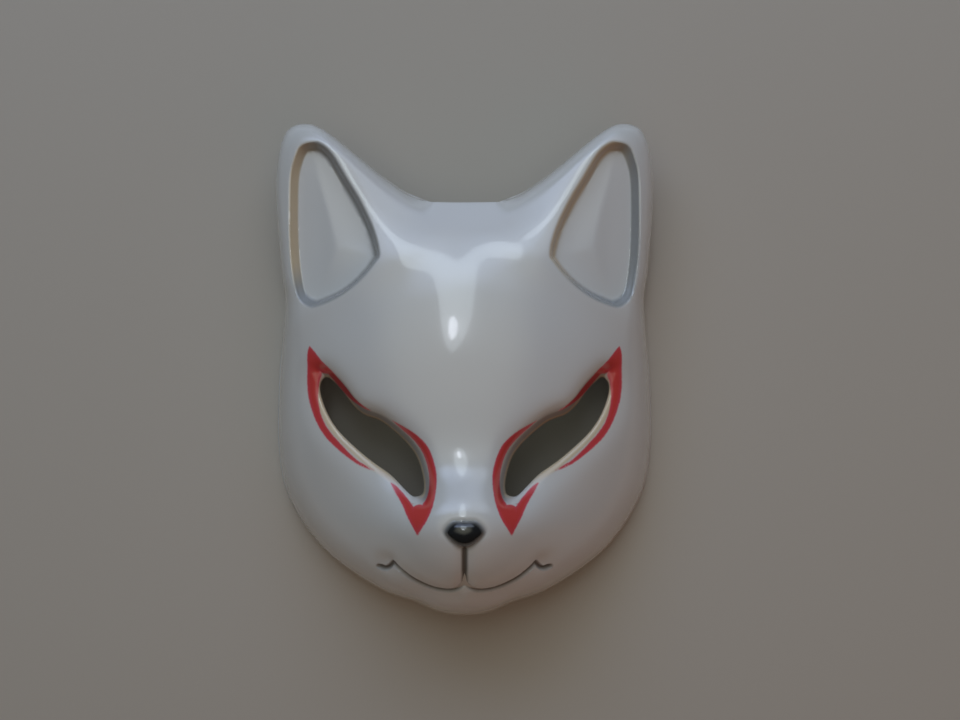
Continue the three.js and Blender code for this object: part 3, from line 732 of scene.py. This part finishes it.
def colour(text):
    """A linear colour from an sRGB hex value."""
    parts = [int(text[i : i + 2], 16) / 255 for i in (1, 3, 5)]
    return (*((c / 12.92 if c <= 0.04045 else ((c + 0.055) / 1.055) ** 2.4) for c in parts), 1)


print("the red is", [round(part, 3) for part in colour("#DA4B49")[:3]], "in linear light")

# %% Nodes that the lacquer is made of
lacquer = bpy.data.materials.new("white_lacquer_on_abs")
lacquer.use_nodes = True
tree = lacquer.node_tree
tree.nodes.clear()
places = add_node(tree, "ShaderNodeTexCoord").outputs["Object"]


def stored(name):
    return add_node(tree, "ShaderNodeAttribute", attribute_name=name).outputs["Fac"]


def grain(size_mm, detail=2):
    """Noise with features of a real size."""
    links = {"Vector": places, "Scale": 1 / (size_mm * MM), "Detail": detail}
    return add_node(tree, "ShaderNodeTexNoise", links).outputs["Fac"]


def soft_mask(value, limits, most=1):
    """Nought at the first limit, rising softly to its most at the second one."""
    links = {"Value": value, "From Min": limits[0], "From Max": limits[1], "To Max": most}
    node = add_node(tree, "ShaderNodeMapRange", links, interpolation_type="SMOOTHSTEP")
    return node.outputs["Result"]


def mixed(factor, a, b):
    links = {"Factor": factor, 6: a, 7: b}
    return add_node(tree, "ShaderNodeMix", links, data_type="RGBA").outputs[2]


def calculated(operation, *values):
    links = dict(enumerate(values))
    return add_node(tree, "ShaderNodeMath", links, operation=operation).outputs[0]


def product(a, b):
    return calculated("MULTIPLY", a, b)


inner_side, ear_wall = stored("inner_side"), stored("ear_wall")
brow_side, eye_edge = stored("brow_side"), stored("eye_edge")
on_face = add_node(tree, "ShaderNodeSeparateXYZ", {0: places}).outputs
read = [node.attribute_name for node in tree.nodes if node.bl_idname == "ShaderNodeAttribute"]
print("read from the mesh so far:", read)

# %% Painted shade in the mouth line, under the brow and in the ear walls, and cream along the eyes
GROOVE_SHADE, GROOVE_DARKNESS = (1.7, 0), 0.85
BROW_SHADE, BROW_DARKNESS = (6.5, 2.5), 0.55
CREAM_EDGE, CREAM_SHARE, CREAM_ABOVE = (3.6, 2), 0.8, (-0.055, -0.044)
CREAM_LINE, CREAM_LINE_SHARE = (1.6, 0.9), 0.6
WALL_TOP, WALL_FOOT, WALL_SHARE = (-0.2, 0.9), (3.2, 1.9), 0.7
OUTER_WALL, RIGHT_EAR, WARM_WALL_ABOVE = (0.066, 0.081), (-0.02, 0.02), (0.036, 0.054)

white = mixed(grain(size_mm=60), colour("#DADCDD"), colour("#E2E3E3"))
# Brown painted shade in the mouth's line and the valley under the nose, standing in for the shadow
# in the groove.
groove_shade = soft_mask(stored("mouth_line"), GROOVE_SHADE, GROOVE_DARKNESS)
white = mixed(groove_shade, white, colour("#5C5046"))
# Grey-brown painted shade on the brow's side of the eye, where the rolled edge turns away from the
# light.
brow_shade = product(soft_mask(eye_edge, BROW_SHADE, BROW_DARKNESS), brow_side)
white = mixed(brow_shade, white, colour("#75655A"))
# Cream along the eye's cut edges: the bare resin with a painted warm reflection on it, and a thin
# cream line along the upper edge.
cream_part = product(calculated("SUBTRACT", 1, brow_side), soft_mask(on_face["Y"], CREAM_ABOVE))
cream_edge = product(soft_mask(eye_edge, CREAM_EDGE, CREAM_SHARE), cream_part)
cream_line = product(soft_mask(eye_edge, CREAM_LINE, CREAM_LINE_SHARE), brow_side)
white = mixed(calculated("MAXIMUM", cream_edge, cream_line), white, colour("#D8C29C"))
# Painted shade in the ear recess walls: warm cream on walls that face right, a painted reflection
# of warm light, and grey on walls that face left.
wall_shade = product(soft_mask(ear_wall, WALL_TOP, WALL_SHARE), soft_mask(ear_wall, WALL_FOOT))
outer_wall = soft_mask(calculated("ABSOLUTE", on_face["X"]), OUTER_WALL)
faces_right = calculated("SUBTRACT", soft_mask(on_face["X"], RIGHT_EAR), outer_wall)
faces_right = calculated("ABSOLUTE", faces_right)
warm_lit_wall = product(faces_right, soft_mask(on_face["Y"], WARM_WALL_ABOVE))
white = mixed(wall_shade, white, mixed(warm_lit_wall, colour("#6A6F72"), colour("#CEB483")))
print("the cream line along the eye is up to", CREAM_EDGE[0], "mm wide")

# %% White lacquer, red enamel and airbrushed black on moulded ABS
RED_EDGE, RED_BODY, RED_UNEVENNESS, NOSE_SPRAY = (-0.25, 0.55), (0, 1.8), 0.4, (-2.6, 1.9)
GLOSS_ROUGHNESS, PRIMER_ROUGHNESS, COAT_ROUGHNESS, LACQUER_IOR = 0.18, 0.53, 0.05, 1.5
WAVE_SIZE, WAVE_STRENGTH, WAVE_HEIGHT = 9, 0.05, 0.4 * MM

red_depth = calculated("ADD", stored("red_paint"), product(grain(size_mm=1.5), RED_UNEVENNESS))
red = mixed(soft_mask(red_depth, RED_BODY), colour("#DC5464"), colour("#DA4B49"))
painted = mixed(soft_mask(red_depth, RED_EDGE), white, red)
painted = mixed(soft_mask(stored("nose_paint"), NOSE_SPRAY), painted, colour("#26282B"))
primer = mixed(grain(size_mm=20), colour("#C9C8C4"), colour("#D2D1CD"))
base = mixed(inner_side, painted, primer)
rougher = PRIMER_ROUGHNESS - GLOSS_ROUGHNESS
roughness = calculated("MULTIPLY_ADD", inner_side, rougher, GLOSS_ROUGHNESS)
coat = calculated("SUBTRACT", 1, inner_side)
waves = add_node(
    tree, "ShaderNodeBump",
    {"Height": grain(WAVE_SIZE), "Strength": WAVE_STRENGTH, "Distance": WAVE_HEIGHT},
).outputs["Normal"]
shader = add_node(
    tree,
    "ShaderNodeBsdfPrincipled",
    {"Base Color": base, "Roughness": roughness, "Normal": waves, "IOR": LACQUER_IOR,
     "Coat Weight": coat, "Coat Roughness": COAT_ROUGHNESS, "Coat IOR": LACQUER_IOR,
     "Coat Normal": waves},
)
add_node(tree, "ShaderNodeOutputMaterial", {"Surface": shader.outputs["BSDF"]})
print("the lacquer has", len(tree.nodes), "nodes")

# %% [markdown]
# ## The wall, with Geometry Nodes
#
# A moulded shell has a wall, and its wall follows one rule: every point of the skin goes into the
# wall by the same thickness. A Solidify modifier would do that along the normals only. This tree
# extrudes the skin along the stored directions, turns the copy inside out for the inner side,
# welds it to the skin along the edges, and marks corners that are too sharp to shade smoothly.

# %% The moulded wall
SHARP_OVER, WELD_DISTANCE = math.radians(35), 0.001 * MM
wall_tree = bpy.data.node_groups.new("moulded_wall", "GeometryNodeTree")


def tree_socket(name, kind, way="INPUT"):
    return wall_tree.interface.new_socket(name, in_out=way, socket_type="NodeSocket" + kind)


def wall_node(kind, links, **settings):
    """Adds a node to the wall's tree and gives its first output."""
    return add_node(wall_tree, kind, links, **settings).outputs[0]


def stored_vector(name):
    links = {"Name": name}
    return wall_node("GeometryNodeInputNamedAttribute", links, data_type="FLOAT_VECTOR")


tree_socket("Skin", "Geometry")
wall_input = tree_socket("Wall", "Float")
corner_input = tree_socket("Sharp Over", "Float")
finish_input = tree_socket("Finish", "Material")
tree_socket("Shell", "Geometry", "OUTPUT")
given = add_node(wall_tree, "NodeGroupInput").outputs

links = {0: stored_vector("wall_way"), "Scale": given["Wall"]}
way_in = wall_node("ShaderNodeVectorMath", links, operation="SCALE")
links = {0: way_in, 1: stored_vector("relief_gap")}
move = wall_node("ShaderNodeVectorMath", links, operation="ADD")
links = {"Mesh": given["Skin"], "Offset Scale": 0.0, "Individual": False}
grown = add_node(wall_tree, "GeometryNodeExtrudeMesh", links, mode="FACES").outputs
links = {"Geometry": grown["Mesh"], "Selection": grown["Top"], "Offset": move}
moved = wall_node("GeometryNodeSetPosition", links)
links = {"Geometry": moved, "Selection": grown["Top"], "Name": "inner_side", "Value": 1.0}
marked = wall_node("GeometryNodeStoreNamedAttribute", links, data_type="FLOAT", domain="POINT")
turned = wall_node("GeometryNodeFlipFaces", {"Mesh": marked})
joined = add_node(wall_tree, "GeometryNodeJoinGeometry", {0: given["Skin"]})
wall_tree.links.new(turned, joined.inputs[0])
links = {"Geometry": joined.outputs[0], "Distance": WELD_DISTANCE}
welded = wall_node("GeometryNodeMergeByDistance", links)
edge_angle = add_node(wall_tree, "GeometryNodeInputMeshEdgeAngle").outputs["Unsigned Angle"]
links = {0: edge_angle, 1: given["Sharp Over"]}
sharp = wall_node("FunctionNodeCompare", links, operation="GREATER_THAN")
links = {"Geometry": welded, "Selection": sharp, "Shade Smooth": False}
shaded = wall_node("GeometryNodeSetShadeSmooth", links, domain="EDGE")
realized = wall_node("GeometryNodeRealizeInstances", {"Geometry": shaded})
links = {"Geometry": realized, "Material": given["Finish"]}
finished = wall_node("GeometryNodeSetMaterial", links)
add_node(wall_tree, "NodeGroupOutput", {"Shell": finished})
print("the wall's tree has", len(wall_tree.nodes), "nodes")

# %% The shell with its wall
mask = bpy.data.objects.new("fox_mask", skin)
bpy.context.collection.objects.link(mask)
wall = mask.modifiers.new("moulded wall", "NODES")
wall.node_group = wall_tree
wall[wall_input.identifier] = WALL * MM
wall[corner_input.identifier] = SHARP_OVER
wall[finish_input.identifier] = lacquer
evaluated = mask.evaluated_get(bpy.context.evaluated_depsgraph_get())
shell = bpy.data.meshes.new_from_object(evaluated)
mask.modifiers.clear()
mask.data = shell
shell.name = "fox_mask"
shell.calc_loop_triangles()
print("the shell has", len(shell.loop_triangles), "triangles")
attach(mask, "root")
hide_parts("mask_shell")

# %% [markdown]
# ## Table, light and camera
#
# The mask lies on a plain pale table. A gloss surface is described by what it reflects. Two cool
# soft boxes past the top of the mask, turned to each other like a V, draw the broad highlight on
# the crown. A tall narrow one between them, with a small bright middle, draws the streak down the
# forehead, and a low one lights the crown's edge. A real diffuser is brightest in its middle, so
# these three wide boxes are each a stack of ellipses of shrinking size, and fade out at their
# edges.
# Two warm lamps, past the lower right and past the chin, only fill the shade and show in no
# reflection. A ceiling that glows overhead and darkens towards its sides shades the rest of the
# face evenly.

# %% Table
TABLE_REACH, TABLE_LEVEL, PAPER_ROUGHNESS = 4, -0.2 * MM, 0.9
corners = np.array([(-1, -1), (1, -1), (1, 1), (-1, 1)]) * TABLE_REACH
table = bpy.data.meshes.new("table")
table.from_pydata([(x, y, TABLE_LEVEL) for x, y in corners.tolist()], [], [(0, 1, 2, 3)])
table_top = bpy.data.objects.new("table", table)
bpy.context.collection.objects.link(table_top)
paper = bpy.data.materials.new("pale_paper")
paper.use_nodes = True
paper_look = paper.node_tree.nodes["Principled BSDF"].inputs
paper_look["Base Color"].default_value = colour("#C0BAB1")
paper_look["Roughness"].default_value = PAPER_ROUGHNESS
table.materials.append(paper)
print("the table is", 2 * TABLE_REACH, "m wide")

# %% Soft boxes
FEATHER, FEATHER_GAP = np.array([1.35, 1.15, 0.95, 0.75, 0.55]), 0.004


def soft_box(name, lean_right, lean_up, roll, away, width, length, power, tint, shape="ELLIPSE"):
    """A soft box aimed at the mask, at angles off the vertical to its right and its ears."""
    lamp = bpy.data.lights.new(name, "AREA")
    lamp.shape, lamp.size, lamp.size_y = shape, width, length
    lamp.energy, lamp.color = power, colour(tint)[:3]
    right, up, spin = (math.radians(angle) for angle in (lean_right, lean_up, roll))
    turn = Euler((-up, right, 0)).to_matrix() @ Matrix.Rotation(spin, 3, "Z")
    box = bpy.data.objects.new(name, lamp)
    box.rotation_euler = turn.to_euler()
    box.location = turn @ Vector((0, 0, away))
    bpy.context.collection.objects.link(box)
    return box


def feathered_box(name, lean_right, lean_up, roll, away, width, length, power, tint):
    """Ellipses of equal brightness behind each other, so that the box fades out at its edge."""
    powers = power * FEATHER**2 / np.sum(FEATHER**2)
    for k, part in enumerate(FEATHER):
        place = (lean_right, lean_up, roll, away + FEATHER_GAP * k)
        size = (width * part, length * part)
        soft_box("%s_%d" % (name, k), *place, *size, powers[k], tint)


# Name; lean to the right, lean up and roll; distance, width and length; power; tint.
feathered_box("sky_left", -25, 42, 27, 1.5, 1.15, 0.62, 3.6, "#C6DAFF")
feathered_box("sky_right", 22, 45, -26, 1.5, 1.05, 0.62, 2.1, "#DCEAFF")
feathered_box("sky_low", 0, 68, 0, 1.6, 1.24, 0.68, 1.9, "#C7D8FF")
soft_box("streak", -3, 29, 0, 1.3, 0.2, 1.15, 1.2, "#E8F6FF")
soft_box("streak_core", -3, 15.5, 0, 1.3, 0.06, 0.25, 0.25, "#EEF2FF")
warm_fill = soft_box("warm_fill", 44, -44, 0, 1.6, 2.0, 2.0, 2.2, "#FF762A", "RECTANGLE")
warm_low = soft_box("warm_low", -6, -74, 0, 1.6, 1.1, 0.6, 0.32, "#FF9A50", "RECTANGLE")
warm_fill.visible_glossy = warm_low.visible_glossy = False
print(len(bpy.data.lights), "lamps")

# %% The room's ceiling
CEILING_WAY = Vector((-0.1, 0.22, 1)).normalized()
CEILING_EDGE, CEILING_DARK, CEILING_BRIGHT = 0.74, 0.015, 0.7
room = bpy.data.worlds.new("room")
bpy.context.scene.world = room
room.use_nodes = True
room_tree = room.node_tree
towards = add_node(room_tree, "ShaderNodeTexCoord").outputs["Generated"]
overhead = add_node(
    room_tree, "ShaderNodeVectorMath", {0: towards, 1: tuple(CEILING_WAY)}, operation="DOT_PRODUCT"
).outputs["Value"]
glow = add_node(
    room_tree, "ShaderNodeMapRange",
    {"Value": overhead, "From Min": CEILING_EDGE, "From Max": 1.0, "To Min": CEILING_DARK,
     "To Max": CEILING_BRIGHT},
    interpolation_type="SMOOTHSTEP",
).outputs["Result"]
background = room_tree.nodes["Background"]
background.inputs["Color"].default_value = colour("#FCFDE8")
room_tree.links.new(glow, background.inputs["Strength"])
lean = math.degrees(CEILING_WAY.angle((0, 0, 1)))
print("the ceiling leans", round(lean), "degrees off the vertical")

# %% The camera, straight above
FOCAL_LENGTH, SENSOR_WIDTH, CAMERA_SHIFT, CAMERA_HEIGHT = 50, 36, (0.0161, 0.0136), 0.672
lens = bpy.data.cameras.new("camera")
lens.lens, lens.sensor_width = FOCAL_LENGTH, SENSOR_WIDTH
lens.shift_x, lens.shift_y = CAMERA_SHIFT
camera = bpy.data.objects.new("camera", lens)
camera.location = (0, 0, CAMERA_HEIGHT)
bpy.context.collection.objects.link(camera)
bpy.context.scene.camera = camera
bpy.context.scene.view_settings.view_transform = "Standard"
print("the camera is", CAMERA_HEIGHT, "m above the table")
